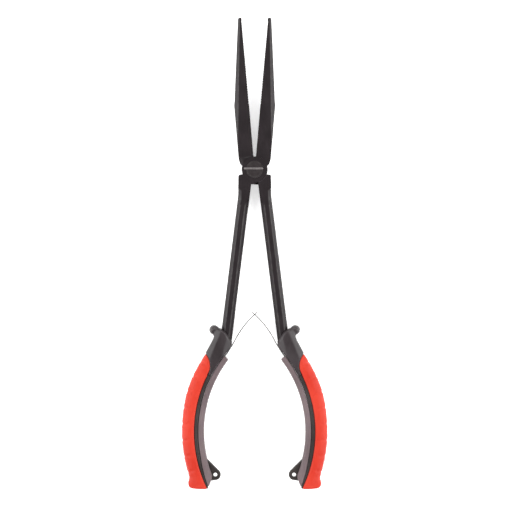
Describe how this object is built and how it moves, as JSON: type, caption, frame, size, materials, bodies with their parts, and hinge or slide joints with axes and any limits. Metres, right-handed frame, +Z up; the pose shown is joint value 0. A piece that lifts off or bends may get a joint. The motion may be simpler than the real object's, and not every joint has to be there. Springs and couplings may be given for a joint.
{
  "type": "fishing pliers",
  "caption": "Long-reach needle-nose pliers with sprung jaws, slim steel arms, bowed two-tone rubber grips, thumb guards and lanyard lugs.",
  "frame": {"origin": "middle of the tool's outline, on the surface that it lies on", "axes": "+Y along the tool towards the jaw tips, +X across towards the handle whose arm belongs to the back half, +Z up through the thickness"},
  "size_m": [0.086, 0.2778, 0.013],
  "materials": {
    "black_steel": "satin black oxide",
    "rivet_steel": "satin, darkened",
    "black_plastic": "matte",
    "grey_rubber": "soft satin",
    "red_rubber": "soft satin, shallow ribs",
    "light_grey_rubber": "soft satin",
    "spring_steel": "bright"
  },
  "bodies": {
    "front_half": {"front_steel_half": "black_steel", "pivot_rivet": "rivet_steel", "left_handle_core": "black_plastic", "left_thumb_guard": "grey_rubber", "left_red_grip": "red_rubber", "left_palm_strip": "light_grey_rubber", "left_spring_foot": "spring_steel", "left_spring_rivet": "rivet_steel"},
    "back_half": {"back_steel_half": "black_steel", "right_handle_core": "black_plastic", "right_thumb_guard": "grey_rubber", "right_red_grip": "red_rubber", "right_palm_strip": "light_grey_rubber", "right_spring_foot": "spring_steel", "right_spring_rivet": "rivet_steel"},
    "left_spring": {"left_leaf_spring": "spring_steel"},
    "right_spring": {"right_leaf_spring": "spring_steel"}
  },
  "joints": [
    {"name": "jaw_pivot", "type": "hinge", "parent": "front_half", "child": "back_half", "pos_m": [0, 0.0492, 0.0065], "axis": [0, 0, -1], "range_deg": [0, 9.8], "stiffness_Nm_per_rad": 4, "springref_deg": -2.86},
    {"name": "left_spring_flex", "type": "hinge", "parent": "front_half", "child": "left_spring", "pos_m": [-0.0123, -0.05275, 0.0065], "axis": [0, 0, 1], "range_deg": [0, 21.9]},
    {"name": "right_spring_flex", "type": "hinge", "parent": "back_half", "child": "right_spring", "pos_m": [0.0123, -0.05275, 0.0065], "axis": [0, 0, -1], "range_deg": [0, 21.9]}
  ],
  "couplings": [
    {"joint": "left_spring_flex", "follows": "jaw_pivot", "ratio": 2.226},
    {"joint": "right_spring_flex", "follows": "jaw_pivot", "ratio": 2.226}
  ]
}
